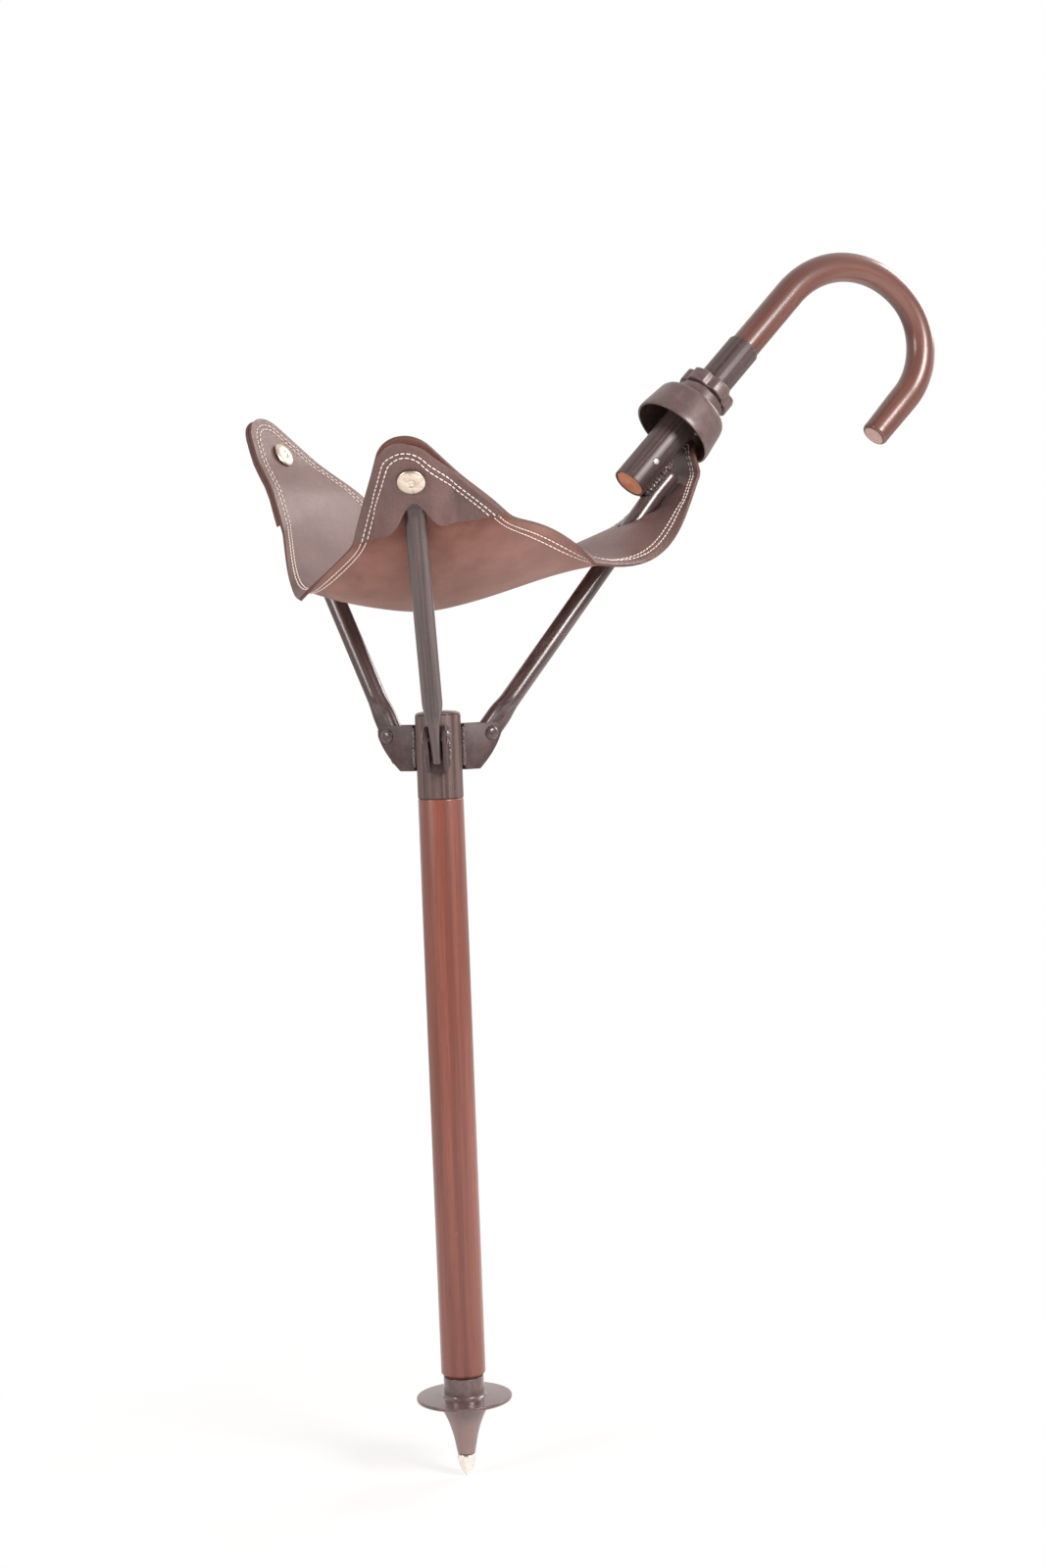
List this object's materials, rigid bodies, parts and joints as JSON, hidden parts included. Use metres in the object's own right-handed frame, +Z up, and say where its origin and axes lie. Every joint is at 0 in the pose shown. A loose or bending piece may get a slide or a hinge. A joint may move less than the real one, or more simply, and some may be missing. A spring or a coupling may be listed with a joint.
{
  "type": "walking-stick seat",
  "caption": "Folding walking-stick seat: a wooden ground stick with hinged steel arms, a leather sling between them, a sliding cup that holds them shut, and a crook handle.",
  "frame": {"origin": "tip of the ground spike, on the stick's axis", "axes": "+Z up the stick; +X from the stick towards the handle arm; the front arm lies towards -120 degrees and the left arm towards +120 degrees about +Z"},
  "size_m": [0.4942, 0.2755, 0.7771],
  "materials": {
    "varnished_wood": "gloss varnish",
    "black_paint": "gloss black paint",
    "black_plastic": "satin",
    "bright_steel": "bright",
    "nickel_plate": "polished nickel",
    "brown_leather": "smooth grain outside, flesh side below"
  },
  "bodies": {
    "stick": {"shaft": "varnished_wood", "head_tube": "black_paint", "head_plug": "black_plastic", "bracket_front": "black_paint", "bracket_handle": "black_paint", "bracket_left": "black_paint", "pivot_rivet_front": "black_paint", "pivot_rivet_handle": "black_paint", "pivot_rivet_left": "black_paint", "ground_disc": "black_plastic", "ground_spike": "bright_steel", "seat_sheet": "brown_leather"},
    "handle_arm": {"arm_handle": "black_paint", "handle_tube": "black_paint", "crook": "varnished_wood", "handle_pin": "bright_steel", "snap_post_handle": "nickel_plate"},
    "front_arm": {"arm_front": "black_paint", "pocket_front": "brown_leather", "snap_post_front": "nickel_plate", "snap_cap_front": "nickel_plate"},
    "left_arm": {"arm_left": "black_paint", "pocket_left": "brown_leather", "snap_post_left": "nickel_plate", "snap_cap_left": "nickel_plate"},
    "cup_slide": {"cup": "black_plastic", "grip_ring": "black_plastic"}
  },
  "joints": [
    {"name": "handle_fold", "type": "hinge", "parent": "stick", "child": "handle_arm", "pos_m": [0.034, 0, 0.4667], "axis": [0, -1, 0], "range_deg": [0, 45.8], "deforming": ["seat_sheet", "pocket_front", "pocket_left"]},
    {"name": "front_fold", "type": "hinge", "parent": "stick", "child": "front_arm", "pos_m": [-0.017, -0.02944, 0.4667], "axis": [-0.866, 0.5, 0], "range_deg": [0, 44.5], "deforming": ["seat_sheet", "pocket_front"]},
    {"name": "left_fold", "type": "hinge", "parent": "stick", "child": "left_arm", "pos_m": [-0.017, 0.02944, 0.4667], "axis": [0.866, 0.5, 0], "range_deg": [0, 28.5], "deforming": ["seat_sheet", "pocket_left"]},
    {"name": "cup_lift", "type": "slide", "parent": "handle_arm", "child": "cup_slide", "axis": [0.7169, 0, 0.6972], "range_m": [-0.0265, 0.03], "deforming": ["seat_sheet"]}
  ],
  "couplings": [
    {"joint": "front_fold", "follows": "handle_fold", "ratio": 0.9716},
    {"joint": "left_fold", "follows": "handle_fold", "ratio": 0.6222}
  ]
}
